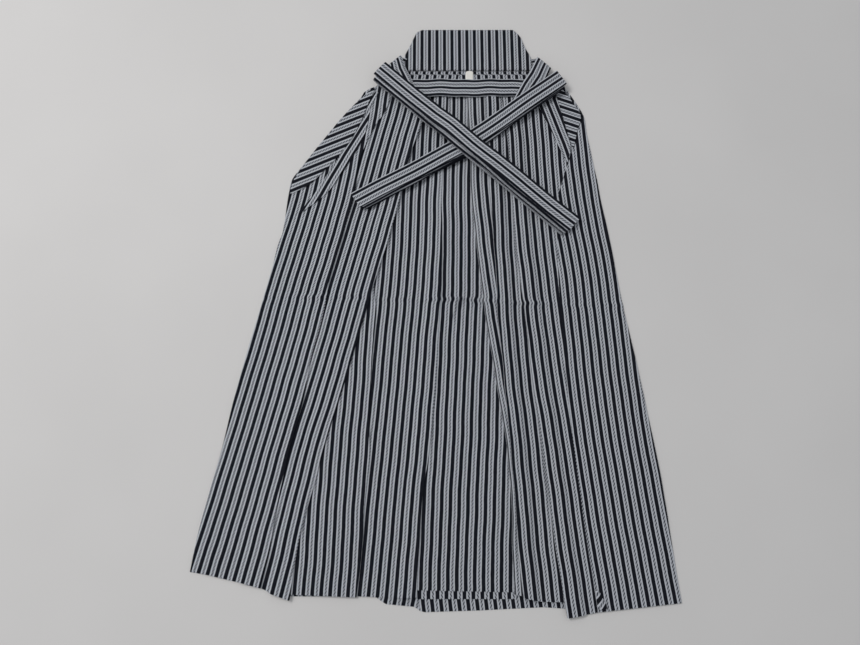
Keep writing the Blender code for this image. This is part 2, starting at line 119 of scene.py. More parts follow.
# Folds across the front, one point a row: edge it hangs from, offset from it, level in the pile, rise of its
# hem, run of cloth that starts there. Two points at one place turn the cloth over.
LEFT_FOLDS = (
    ("left", 0.000, 1, 0.028, "outer"),
    ("left", 0.006, 1, 0.027, "outer"),
    ("p1", -0.042, 1, 0.011, "outer"),
    ("p1", -0.028, 3, 0.008, "outer"),
    ("p1", 0.000, 3, 0.001, "outer"),
    ("p1", 0.000, 2, 0.003, "outer"),
    ("p1", -0.025, 2, 0.006, "outer"),
    ("p1", -0.025, 1, 0.006, "flap"),
    ("p1", 0.001, 1, 0.001, "flap"),
    ("p2", -0.041, 1, -0.003, "flap"),
    ("p2", -0.031, 5, -0.008, "flap"),
    ("p2", 0.000, 5, -0.018, "flap"),
    ("p2", 0.000, 4, -0.015, "flap"),
    ("p2", -0.028, 4, -0.008, "flap"),
    ("p2", -0.028, 3, -0.008, "inner"),
    ("p3", 0.000, 3, -0.013, "inner"),
    ("p3", 0.000, 2, -0.012, "inner"),
    ("p3", -0.020, 2, -0.011, "inner"),
    ("p3", -0.020, 1, -0.011, "middle"),
    ("p4", -0.034, 1, -0.014, "middle"),
    ("p4", -0.022, 4, -0.014, "middle"),
    ("p4", 0.000, 4, -0.013, "middle"),
    ("p4", 0.000, 3, -0.010, "middle"),
    ("p4", -0.018, 3, -0.004, "middle"),
    ("p4", -0.018, 2, -0.002, "centre"),
    ("p4", 0.006, 2, -0.002, "centre"),
    ("p5", -0.014, 2, -0.005, "centre"),
    ("p5", 0.030, 2, -0.006, "centre"),
)
RIGHT_FOLDS = (
    ("p5", 0.028, 3, -0.006, "sliver"),
    ("p5", 0.000, 3, -0.006, "sliver"),
    ("p5", 0.000, 4, -0.009, "sliver"),
    ("p6", 0.008, 4, -0.012, "sliver"),
    ("p6", 0.020, 4, -0.012, "sliver"),
    ("p6", 0.020, 5, -0.012, "lap"),
    ("p6", 0.000, 5, -0.012, "lap"),
    ("p6", 0.000, 6, -0.014, "lap"),
    ("p6", 0.021, 6, -0.018, "lap"),
    ("p6", 0.031, 2, -0.020, "lap"),
    ("p7", 0.006, 2, -0.021, "lap"),
    ("p7", 0.022, 2, -0.021, "lap"),
    ("p7", 0.022, 3, -0.028, "side"),
    ("p7", 0.000, 3, -0.032, "side"),
    ("p7", 0.000, 4, -0.046, "side"),
    ("p7", 0.024, 4, -0.042, "side"),
    ("p7", 0.035, 1, -0.040, "side"),
    ("right", -0.006, 1, -0.038, "side"),
    ("right", 0.000, 1, -0.037, "side"),
)

# The dark stripe in the middle of each run of cloth leans with that run's own fold, and the others lie one
# repeat apart on either side of it.
STRIPE_COLUMNS = ("y", "outer", "flap", "inner", "middle", "centre", "lap", "side", "wrap")
STRIPE_ROWS = (
    (0.430, -0.151, -0.043, -0.120, -0.017, 0.054, 0.138, 0.161, 0.255),
    (0.190, -0.186, -0.101, -0.127, -0.028, 0.051, 0.142, 0.170, 0.270),
    (0.050, -0.221, -0.138, -0.132, -0.034, 0.049, 0.144, 0.178, 0.287),
    (-0.070, -0.249, -0.166, -0.137, -0.043, 0.044, 0.149, 0.188, 0.295),
    (-0.260, -0.295, -0.216, -0.148, -0.059, 0.033, 0.163, 0.209, 0.309),
    (-0.510, -0.353, -0.272, -0.160, -0.081, 0.021, 0.182, 0.240, 0.342),
)
# Whole repeats from a run's first dark stripe to its middle one
STRIPE_MIDDLE = {"outer": 2, "flap": 1, "inner": 1, "middle": 2, "centre": 2, "lap": 1, "side": 1, "wrap": 3}
SLIVER_OFFSET = -0.0010  # the narrow run right of the centre has a dark stripe on its fold

BACK_COLUMNS = ("y", "left", "seam", "right", "over")
BACK_ROWS = (
    (0.4608, -0.0585, 0.050, 0.1950, 0.1915),
    (0.430, -0.1070, 0.046, 0.2540, 0.2505),
    (0.424, -0.1240, 0.045, 0.2580, 0.2545),
    (0.400, -0.1460, 0.042, 0.2730, 0.2695),
    (0.360, -0.1800, 0.038, 0.2925, 0.2890),
    (0.330, -0.2020, 0.034, 0.2950, 0.2790),
    (0.295, -0.2270, 0.030, 0.3000, 0.2710),
    (0.260, -0.2510, 0.026, 0.3055, 0.2566),
    (0.225, -0.2735, 0.023, 0.3110, 0.2455),
    (0.200, -0.2770, 0.020, 0.3140, 0.2376),
    (0.120, -0.2855, 0.013, 0.3270, 0.2326),
    (0.040, -0.3040, 0.006, 0.3370, 0.2296),
    (-0.040, -0.3225, -0.001, 0.3480, 0.2326),
    (-0.120, -0.3415, -0.006, 0.3620, 0.2356),
    (-0.200, -0.3585, -0.011, 0.3740, 0.2386),
    (-0.280, -0.3725, -0.016, 0.3860, 0.2446),
    (-0.360, -0.3890, -0.020, 0.3960, 0.2526),
    (-0.440, -0.4040, -0.023, 0.4040, 0.2626),
    (HEM, -0.4128, -0.026, 0.4120, 0.2716),
)
# Hem of the back: x, rise above the nominal hem.
BACK_HEM = (
    (-0.420, 0.028), (-0.292, 0.006), (-0.245, -0.012), (-0.100, -0.012), (-0.083, -0.024), (-0.028, -0.029),
    (-0.025, -0.037), (0.075, -0.034), (0.181, -0.029), (0.228, -0.032), (0.300, -0.033), (0.415, -0.021),
)
OVER_HEM = ((0.271, -0.037), (0.415, -0.022))
SEAM_GAP = 0.0003  # between the two halves of the back

# Small flat pieces: y, left edge, right edge, level at each edge.
GUSSET_ROWS = (
    (0.100, 0.040, 0.062, 1, 1),
    (-0.050, 0.020, 0.078, 1, 1),
    (-0.200, 0.000, 0.098, 1, 1),
    (-0.350, -0.014, 0.116, 1, 1),
    (-0.450, -0.024, 0.128, 1, 1),
    (-0.526, -0.030, 0.136, 1, 1),
)
BACK_LEFT_TURN = (
    (0.422, -0.1225, -0.1165, 1, 1),
    (0.385, -0.1570, -0.1310, 1, 1),
    (0.357, -0.1795, -0.1410, 1, 1),
    (0.331, -0.1990, -0.1515, 1, 1),
    (0.309, -0.2150, -0.1630, 1, 1),
    (0.287, -0.2305, -0.1765, 1, 1),
    (0.264, -0.2465, -0.1955, 1, 1),
    (0.242, -0.2605, -0.2150, 1, 1),
    (0.215, -0.2725, -0.2430, 1, 1),
    (0.200, -0.2755, -0.2700, 1, 1),
)
BACK_RIGHT_TURN = (
    (0.428, 0.2380, 0.2480, 1, 1),
    (0.400, 0.2430, 0.2670, 1, 1),
    (0.360, 0.2515, 0.2865, 1, 1),
    (0.330, 0.2580, 0.2780, 1, 1),
    (0.297, 0.2660, 0.2700, 1, 1),
)
FRONT_LEFT_TURN = (
    (0.412, -0.1180, -0.1100, 2, 2),
    (0.381, -0.1300, -0.1240, 2, 2),
    (0.350, -0.1410, -0.1290, 2, 2),
    (0.315, -0.1570, -0.1360, 2, 4),
    (0.266, -0.1870, -0.1600, 2, 4),
    (0.234, -0.2060, -0.1810, 2, 4),
    (0.200, -0.2270, -0.2040, 2, 2),
    (0.175, -0.2440, -0.2320, 2, 2),
    (0.158, -0.2560, -0.2540, 2, 2),
)
FRONT_RIGHT_TURN = (
    (0.400, 0.1980, 0.2415, 2, 2),
    (0.375, 0.2080, 0.2470, 2, 2),
    (0.352, 0.2175, 0.2515, 2, 2),
    (0.319, 0.2310, 0.2580, 2, 2),
    (0.290, 0.2425, 0.2620, 2, 2),
    (0.264, 0.2545, 0.2562, 2, 2),
)

# The corner of seam allowance that has turned up at the hem, right of the side seam.
HEM_CORNER = (
    (-0.512, 0.2690, 0.2740, 2.3, 2.3),
    (-0.522, 0.2695, 0.2790, 2.3, 2.3),
    (-0.533, 0.2705, 0.2850, 2.3, 2.3),
    (-0.542, 0.2725, 0.2868, 2.3, 2.3),
)
CORNER_CURL = 0.0022  # it stands up this much along its middle

# Outline of the board: y, left side, right side.
BOARD_ROWS = (
    (0.4613, -0.0600, 0.1960),
    (0.4877, -0.0600, 0.1930),
    (0.5150, -0.0484, 0.1810),
    (0.5424, -0.0367, 0.1690),
    (0.5464, -0.0350, 0.1654),
    (0.5525, -0.0240, 0.1600),
)

# The ties: middle line of each bundle, height of its underside along it, then the runs of cloth to and fro:
# level, share of the way at start and end, sideways shift at each.
LEFT_BUNDLE = ((-0.1063, 0.4560), (0.0770, 0.2900), (0.2626, 0.1340))
RIGHT_BUNDLE = ((0.2486, 0.4357), (0.0550, 0.2933), (-0.1483, 0.1807))
LEFT_BASE = (
    (0.00, 0.0128), (0.17, 0.0128), (0.30, 0.0130), (0.38, 0.0194), (0.50, 0.0196), (0.60, 0.0190),
    (0.76, 0.0100), (0.88, 0.0065), (1.00, 0.0050),
)
RIGHT_BASE = (
    (0.00, 0.0128), (0.20, 0.0130), (0.38, 0.0113), (0.50, 0.0106), (0.70, 0.0098), (0.88, 0.0088),
    (1.00, 0.0066),
)
LEFT_BACK_RUNS = ((0, 0.170, 0.985, -0.002, -0.013), (1, 0.985, 0.035, -0.013, -0.007))
LEFT_FRONT_RUNS = (
    (-1, 0.090, 0.012, -0.008, -0.008),
    (2, 0.012, 0.992, -0.008, -0.010),
    (3, 0.992, 0.000, -0.010, 0.000),
    (4, 0.000, 1.000, 0.000, 0.000),
)
RIGHT_BACK_RUNS = ((0, 0.240, 0.975, 0.004, 0.006), (1, 0.975, 0.035, 0.006, 0.004))
RIGHT_FRONT_RUNS = (
    (-1, 0.070, 0.012, 0.003, 0.003),
    (2, 0.012, 0.985, 0.003, 0.004),
    (3, 0.985, 0.000, 0.004, 0.000),
    (4, 0.000, 1.000, 0.000, 0.000),
)
BAND_CLOTH = 0.0016  # thickness of the band
BAND_GAP = 0.0006  # between the end of the band and the tie sewn on there
BAND_CLEAR = 0.0002  # the band stands this much clear of the pleats
BAND_ROWS, BAND_POINTS = 16, 70  # points down the band and along it
TAB_WIDTH = 0.0150
TAB_ROWS, TAB_POINTS = 40, 13  # points along the tab and across it
TAB_ROUND = 0.004  # length of the tab's rounded ends
TAB_RIM = 0.0006  # how much of them is cut off square
TAB_EDGE, TAB_CROWN = 0.0002, 0.0005  # half its thickness at the sides, and how much more in the middle
BOARD_ROW = 0.0022  # spacing of points along the board
BOARD_POINTS = 90  # points across it, closest at its edges
BOARD_ROLL = 0.0030  # width of its rounded rim
BOARD_RIM = 0.0004  # how much of the rim is cut off square
BOARD_PAD = 0.0003  # height of the soft waves of its padding
BOARD_ROOM = 0.0004  # thinner than its solid by this on each side, which leaves room for them

TIE_CLOTH = 0.0014  # two faces of a pressed tie and their air
TIE_LEVEL = 0.0017  # one run of a tie on another
TIE_WIDTH = 0.034
BACK_TIE_WIDTH = 0.036
TIE_REACH = 0.0012  # two stations closer than this are one place, where the tie turns over
ROOT_POINTS = 6  # steps round the fold at a tie's root, and along each run after it
TIE_OUTSIDE = 0.00065  # half the thickness of the flattened tube
TIE_INSIDE = 0.00012  # half the space inside it
TIE_WALL = 0.0005  # thickness of its edges
TIE_WANDER = 0.0011  # how far a run strays from a straight line
TIE_POINTS = 13  # points across a tie
# Where each back tie leaves the garment and doubles back: x, y, height, direction of its width in degrees.
LEFT_BACK_ROOT = (
    (-0.0637, 0.4700, 0.0062, 56.0),
    (-0.0795, 0.4774, 0.0085, 42.0),
    (-0.0793, 0.4742, 0.0133, 42.0),
    (-0.0733, 0.4552, 0.0136, 26.0),
    (-0.0634, 0.4345, 0.0136, 30.0),
)
RIGHT_BACK_ROOT = (
    (0.2000, 0.4680, 0.0062, -62.0),
    (0.2184, 0.4734, 0.0085, -44.0),
    (0.2177, 0.4706, 0.0128, -44.0),
    (0.2037, 0.4424, 0.0136, -36.0),
    (0.1878, 0.4175, 0.0138, -42.0),
)

# Creases pressed or worn into the laid cloth: x and y of both ends, width, height.
CREASES = (
    (-0.330, -0.009, -0.210, -0.005, 0.0034, 0.0020),
    (-0.210, -0.005, -0.100, -0.009, 0.0030, 0.0024),
    (-0.100, -0.009, -0.020, -0.011, 0.0028, 0.0024),
    (-0.022, -0.011, 0.040, -0.009, 0.0026, 0.0026),
    (0.038, -0.008, 0.088, -0.015, 0.0026, 0.0044),
    (0.088, -0.015, 0.157, -0.017, 0.0028, 0.0026),
    (0.157, -0.017, 0.240, -0.020, 0.0030, 0.0024),
    (0.240, -0.020, 0.320, -0.020, 0.0040, 0.0012),
    (0.040, -0.008, 0.032, -0.042, 0.0034, 0.0050),
    (0.050, -0.006, 0.046, -0.024, 0.0032, 0.0038),
    (0.064, -0.004, 0.068, -0.022, 0.0032, 0.0038),
    (0.078, -0.006, 0.083, -0.024, 0.0032, 0.0038),
    (-0.215, -0.250, -0.185, -0.320, 0.0120, 0.0034),
    (-0.110, -0.250, -0.114, -0.320, 0.0100, 0.0028),
    (-0.395, -0.430, -0.360, -0.480, 0.0100, 0.0030),
    (-0.290, -0.130, -0.240, -0.210, 0.0160, 0.0014),
    (-0.240, 0.170, -0.200, 0.090, 0.0110, 0.0018),
    (0.180, 0.140, 0.215, 0.060, 0.0130, 0.0018),
    (0.210, -0.100, 0.235, -0.200, 0.0120, 0.0020),
    (0.320, -0.180, 0.350, -0.290, 0.0150, 0.0018),
    (0.300, -0.390, 0.325, -0.470, 0.0150, 0.0020),
    (0.090, -0.330, 0.100, -0.420, 0.0130, 0.0016),
    (-0.080, -0.250, -0.075, -0.350, 0.0150, 0.0016),
    (0.030, -0.140, 0.040, -0.230, 0.0130, 0.0014),
)


def linear(hex_colour):
    """A colour written as sRGB hex, in the linear values that shaders use."""
    parts = [int(hex_colour[i:i + 2], 16) / 255 for i in (1, 3, 5)]
    return tuple(p / 12.92 if p <= 0.04045 else ((p + 0.055) / 1.055) ** 2.4 for p in parts)


def smooth_step(value, start, end):
    """From 0 at the start to 1 at the end, level at both."""
    part = np.clip((np.asarray(value, float) - start) / (end - start), 0.0, 1.0)
    return part * part * (3.0 - 2.0 * part)


def on_curve(knots, values, places):
    """Values at the given places on a smooth curve through the knots, which rise."""
    knots = np.asarray(knots, float)
    values = np.asarray(values, float)
    slopes = np.gradient(values, knots)
    low = np.clip(np.searchsorted(knots, places, side="right") - 1, 0, len(knots) - 2)
    gap = knots[low + 1] - knots[low]
    t = (places - knots[low]) / gap
    inside = np.clip(t, 0.0, 1.0)
    a = (1 + 2 * inside) * (1 - inside) ** 2 * values[low] + inside ** 2 * (3 - 2 * inside) * values[low + 1]
    b = inside * (1 - inside) ** 2 * slopes[low] - inside ** 2 * (1 - inside) * slopes[low + 1]
    return a + gap * b + (t - inside) * gap * np.where(t > 1, slopes[low + 1], slopes[low])


def read_table(columns, rows, places):
    """The named columns of a table at the given places along its first column."""
    table = np.array(sorted(rows))
    return {
        name: on_curve(table[:, 0], values, places)
        for name, values in zip(columns[1:], table.T[1:])
    }


def lines_of(first, last, step):
    """Places of the rows of points, from the waist down."""
    return np.linspace(first, last, max(2, int(round((first - last) / step)) + 1))


def panel_lines(first):
    """Rows of a long panel, closer together across the storage fold so that it can be sharp."""
    high, low = STORAGE_BAND
    parts = [lines_of(high, low, FOLD_ROW), lines_of(low, HEM, ROW)]
    if first > WAIST_JOG_AT[1]:
        foot = WAIST_JOG_AT[0] - WAIST_FOOT
        parts = [lines_of(first, foot, WAIST_ROW), lines_of(foot, high, ROW)] + parts
    else:
        parts = [lines_of(first, high, ROW)] + parts
    return np.concatenate([parts[0]] + [part[1:] for part in parts[1:]])


def height(level, y):
    """Middle of the cloth on a level of the pile."""
    lift = WAIST_LIFT * np.clip((np.asarray(y) - LIFT_FROM) / (LIFT_TO - LIFT_FROM), 0, 1)
    return SOLID_CLOTH / 2 + level * LEVEL + lift


def sloped(y, rise):
    """A row near the hem follows the slope of the hem."""
    return y + rise * np.clip((SLOPE_FROM - y) / (SLOPE_FROM - HEM), 0, 1)


def stripe_place(run, x, y, columns):
    """Repeats of the stripe across a run of cloth. A dark stripe is at each whole number."""
    if run == "sliver":
        return (x - columns["p5"] - SLIVER_OFFSET) / REPEAT
    middle = read_table(STRIPE_COLUMNS, STRIPE_ROWS, y)[run]
    return (x - middle) / REPEAT + STRIPE_MIDDLE[run]


def settled(points):
    """The lie of the worn cloth: every layer over a crease rises with it, and the stripes wander a little."""
    lay = bpy.context.scene.hakama_lay
    x, y, z = points[..., 0], points[..., 1], points[..., 2]
    lift = np.zeros_like(x)
    for x0, y0, x1, y1, width, rise in CREASES:
        along = np.array((x1 - x0, y1 - y0))
        length = float(np.hypot(*along))
        along = along / length
        part = (x - x0) * along[0] + (y - y0) * along[1]
        off = (y - y0) * along[0] - (x - x0) * along[1]
        bow = 0.04 * length * np.sin(math.pi * np.clip(part / length, 0, 1))
        ends = smooth_step(part, -0.3 * length, 0.25 * length)
        ends = ends * (1 - smooth_step(part, 0.75 * length, 1.3 * length))
        lift += rise * ends * np.exp(-(((off - bow) / width) ** 2))
    swell = np.sin(13.0 * x + 5.0 * y + 0.6) * np.sin(9.0 * y - 4.0 * x + 1.9)
    swell = swell + 0.5 * np.sin(31 * y + 17 * x)
    lift = lay.crease * lift + lay.swell * (1.0 + swell) / 2
    below_waist = 1 - smooth_step(y, *CALM_WAIST)
    raised = smooth_step(z, 0.0, CALM_FLOOR)
    wander = np.sin(21.0 * y + 6.0 * x + 0.4) + 0.6 * np.sin(47.0 * y - 11.0 * x + 2.1)
    wander = wander + 0.35 * np.sin(96.0 * y + 19.0 * x)
    fold_x, fold_y = zip(*STORAGE_LINE)
    near = np.exp(-(((y - np.interp(x, fold_x, fold_y)) / STORAGE_WIDTH) ** 2))
    jog = STORAGE_KINK * near * np.sin(38.0 * x + 1.1)
    jog *= 1 + PINCH_MORE * np.exp(-(((x - PINCH_X) / PINCH_WIDTH) ** 2))
    moved = points.copy()
    moved[..., 0] += (lay.wander * wander + jog) * below_waist * raised
    moved[..., 2] += lift * below_waist * raised
    return moved


def shell(name, middle, places, thickness, finish):
    """A closed shell either side of a grid of points, with the stripe map from its places."""
    rows, across = middle.shape[:2]
    down = np.gradient(middle, axis=0)
    over = np.gradient(middle, axis=1)
    normal = np.cross(down, over)
    normal /= np.maximum(np.linalg.norm(normal, axis=2, keepdims=True), 1e-12)
    half = thickness / 2
    points = np.concatenate([(middle + side * normal * half).reshape(-1, 3) for side in (1, -1)])
    index = np.arange(rows * across).reshape(rows, across)
    below = index + rows * across
    a, b, c, d = index[:-1, :-1], index[1:, :-1], index[1:, 1:], index[:-1, 1:]
    faces = [np.stack([a, b, c, d], -1).reshape(-1, 4)]
    a, b, c, d = below[:-1, :-1], below[:-1, 1:], below[1:, 1:], below[1:, :-1]
    faces.append(np.stack([a, b, c, d], -1).reshape(-1, 4))
    faces.append(np.stack([index[:-1, 0], below[:-1, 0], below[1:, 0], index[1:, 0]], -1))
    faces.append(np.stack([index[:-1, -1], index[1:, -1], below[1:, -1], below[:-1, -1]], -1))
    faces.append(np.stack([index[0, :-1], index[0, 1:], below[0, 1:], below[0, :-1]], -1))
    faces.append(np.stack([index[-1, :-1], below[-1, :-1], below[-1, 1:], index[-1, 1:]], -1))
    flat = places.reshape(-1, 2)
    return body_of_faces(name, points, np.concatenate(faces), np.concatenate([flat, flat]), finish)


def body_of_faces(name, points, faces, places, finish):
    """One object from points, four-sided faces and the stripe place of each point."""
    mesh = bpy.data.meshes.new(name)
    mesh.from_pydata(points.tolist(), [], faces.tolist())
    stripes = mesh.uv_layers.new(name=STRIPE_MAP)
    corners = np.empty(len(mesh.loops), np.int32)
    mesh.loops.foreach_get("vertex_index", corners)
    stripes.data.foreach_set("uv", places[corners].astype(np.float32).ravel())
    mesh.materials.append(finish)
    mesh.shade_smooth()
    mesh.set_sharp_from_angle(angle=math.radians(55))
    piece = bpy.data.objects.new(name, mesh)
    bpy.context.scene.collection.objects.link(piece)
    return piece


def flat_tube(name, rings, places, finish):
    """A tube of cloth pressed flat and open at both ends, between an outer and an inner grid of rings."""
    rows, around = rings[0].shape[:2]
    outer = np.arange(rows * around).reshape(rows, around)
    inner = outer + rows * around
    faces = []
    for grid in (outer, inner):
        ahead = np.roll(grid, -1, axis=1)
        quads = np.stack([grid[:-1], grid[1:], ahead[1:], ahead[:-1]], -1)
        faces.append(quads.reshape(-1, 4))
    for row in (0, -1):
        ends = [outer[row], np.roll(outer[row], -1), np.roll(inner[row], -1), inner[row]]
        faces.append(np.stack(ends, -1))
    points = np.concatenate([ring.reshape(-1, 3) for ring in rings])
    flat = places.reshape(-1, 2)
    piece = body_of_faces(name, points, np.concatenate(faces), np.concatenate([flat, flat]), finish)
    shape = bmesh.new()
    shape.from_mesh(piece.data)
    bmesh.ops.recalc_face_normals(shape, faces=shape.faces)
    shape.to_mesh(piece.data)
    shape.free()
    return piece


def two_sided(name, upper, lower, places, finish):
    """A closed body between an upper and a lower grid of points."""
    piece = shell(name, upper, places, 0.0, finish)
    points = np.concatenate([upper.reshape(-1, 3), lower.reshape(-1, 3)])
    piece.data.vertices.foreach_set("co", points.astype(np.float32).ravel())
    piece.data.update()
    return piece


def place(piece, node):
    """The piece stands for its CAD node and rides with it."""
    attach(piece, BODY)
    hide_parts(node)


def lay_cloth(node, points, places):
    """A panel of the cloth, settled as it lies, standing for its CAD node."""
    thickness = bpy.context.scene.hakama_cloth.thickness
    piece = shell(node + "_cloth", settled(points), places, thickness, cloth_material())
    place(piece, node)


def spread(low, high, share):
    """Values from low to high in each row, at the shares across it."""
    return low[:, None] + (high - low)[:, None] * share


def upward(amount):
    """The amounts as moves straight up."""
    return np.stack([np.zeros_like(amount), np.zeros_like(amount), amount], -1)


def lean_of(x, y):
    """How much further along X a fold's own width reaches where the fold leans over."""
    return np.sqrt(1 + np.gradient(x, y) ** 2)


def folded_grid(columns, y, folds):
    """Points and stripe places of a pleated panel, row by row from the waist down."""
    stops = []
    for edge, offset, level, rise, run in folds:
        stops.append((columns[edge] + offset * columns.get(edge + "_depth", 1.0), level, rise, run))
    xs, zs, rises, marks = [], [], [], []
    for i in range(len(stops) - 1):
        (x0, l0, r0, run0), (x1, l1, r1, run1) = stops[i], stops[i + 1]
        radius = LEVEL * abs(l1 - l0) / 2
        if folds[i][:2] == folds[i + 1][:2]:
            inward = np.sign(np.mean(stops[i - 1 if i else i + 2][0] - x0))
            shift = inward * radius * lean_of(x0, y)
            before = marks[-1]
            after = stripe_place(run1, x0 + shift, y, columns)
            if run0 == run1 and inward < 0:
                after = 2 * stripe_place(run1, x0, y, columns) - after
            for k in range(1, TURN_POINTS):
                angle = math.pi * k / TURN_POINTS
                share = k / TURN_POINTS
                xs.append(x0 + shift * (1 - math.sin(angle)))
                zs.append(height((l0 + l1) / 2 + (l0 - l1) / 2 * math.cos(angle), y))
                rises.append(np.full_like(y, r0 + (r1 - r0) * share))
                marks.append(before + (after - before) * share)
            continue
        turn_before = i > 0 and folds[i - 1][:2] == folds[i][:2]
        turn_after = i + 2 < len(folds) and folds[i + 1][:2] == folds[i + 2][:2]
        forward = np.sign(np.mean(x1 - x0))
        start = x0 + forward * (lean_of(x0, y) * LEVEL / 2 if turn_before else 0.0)
        end = x1 - forward * (lean_of(x1, y) * LEVEL / 2 if turn_after else 0.0)
        spacing = FINE if forward > 0 or i < 3 else COARSE
        steps = max(1, math.ceil(np.abs(end - start).max() / spacing))
        if abs(l1 - l0) > 1:
            steps = max(steps, 4)
        for k in range(0 if i == 0 or turn_before else 1, steps + 1):
            share = k / steps
            x = start + (end - start) * share
            soft = share * share * (3 - 2 * share)
            mark = stripe_place(run0, x, y, columns)
            if forward < 0:
                mark = 2 * stripe_place(run0, x0, y, columns) - mark
            xs.append(x)
            zs.append(height(l0 + (l1 - l0) * soft, y))
            rises.append(np.full_like(y, r0 + (r1 - r0) * share))
            marks.append(mark)
    x, z, rise, mark = (np.array(part).T for part in (xs, zs, rises, marks))
    points = np.stack([x, sloped(y[:, None], rise), z], -1)
    return points, np.stack([mark, points[..., 1] / REPEAT], -1)


def flat_grid(rows, columns_across, step, lean, shift):
    """Points of a small flat piece, with stripes that lie at an angle to +X, in degrees."""
    columns = ("y", "left", "right", "left_level", "right_level")
    y = lines_of(rows[0][0], rows[-1][0], step)
    at = read_table(columns, rows, y)
    share = np.linspace(0, 1, columns_across)
    x = spread(at["left"], at["right"], share)
    level = spread(at["left_level"], at["right_level"], share)
    points = np.stack([x, np.broadcast_to(y[:, None], x.shape), height(level, y[:, None])], -1)
    angle = math.radians(lean)
    across = points[..., 1] * math.cos(angle) - points[..., 0] * math.sin(angle) + shift
    along = points[..., 0] * math.cos(angle) + points[..., 1] * math.sin(angle)
    return points, np.stack([across, along], -1) / REPEAT


# ---------------------------------------------------------------- materials

RANGE = ("From Min", "From Max", "To Min", "To Max")


def add_node(tree, kind, settings=None, stops=(), **inputs):
    """Adds a node, sets its values and its ramp's stops, and gives its inputs a value or a socket."""
    node = tree.nodes.new(kind)
    for key, value in (settings or {}).items():
        if key in node.inputs:
            node.inputs[key].default_value = value
        else:
            setattr(node, key, value)
    for key, value in inputs.items():
        numbered = key[0] == "i" and key[1:].isdigit()
        target = node.inputs[int(key[1:]) if numbered else key.replace("_", " ")]
        if isinstance(value, bpy.types.NodeSocket):
            tree.links.new(value, target)
        else:
            target.default_value = value
    if stops:
        ramp = node.color_ramp.elements
        ramp.remove(ramp[-1])
        ramp[0].position, colour = stops[0]
        ramp[0].color = (*colour, 1)
        for position, colour in stops[1:]:
            ramp.new(position).color = (*colour, 1)
    return node


def new_material(name):
    """An empty material and its node tree."""
    material = bpy.data.materials.new(name)
    material.use_nodes = True
    material.node_tree.nodes.clear()
    return material, material.node_tree


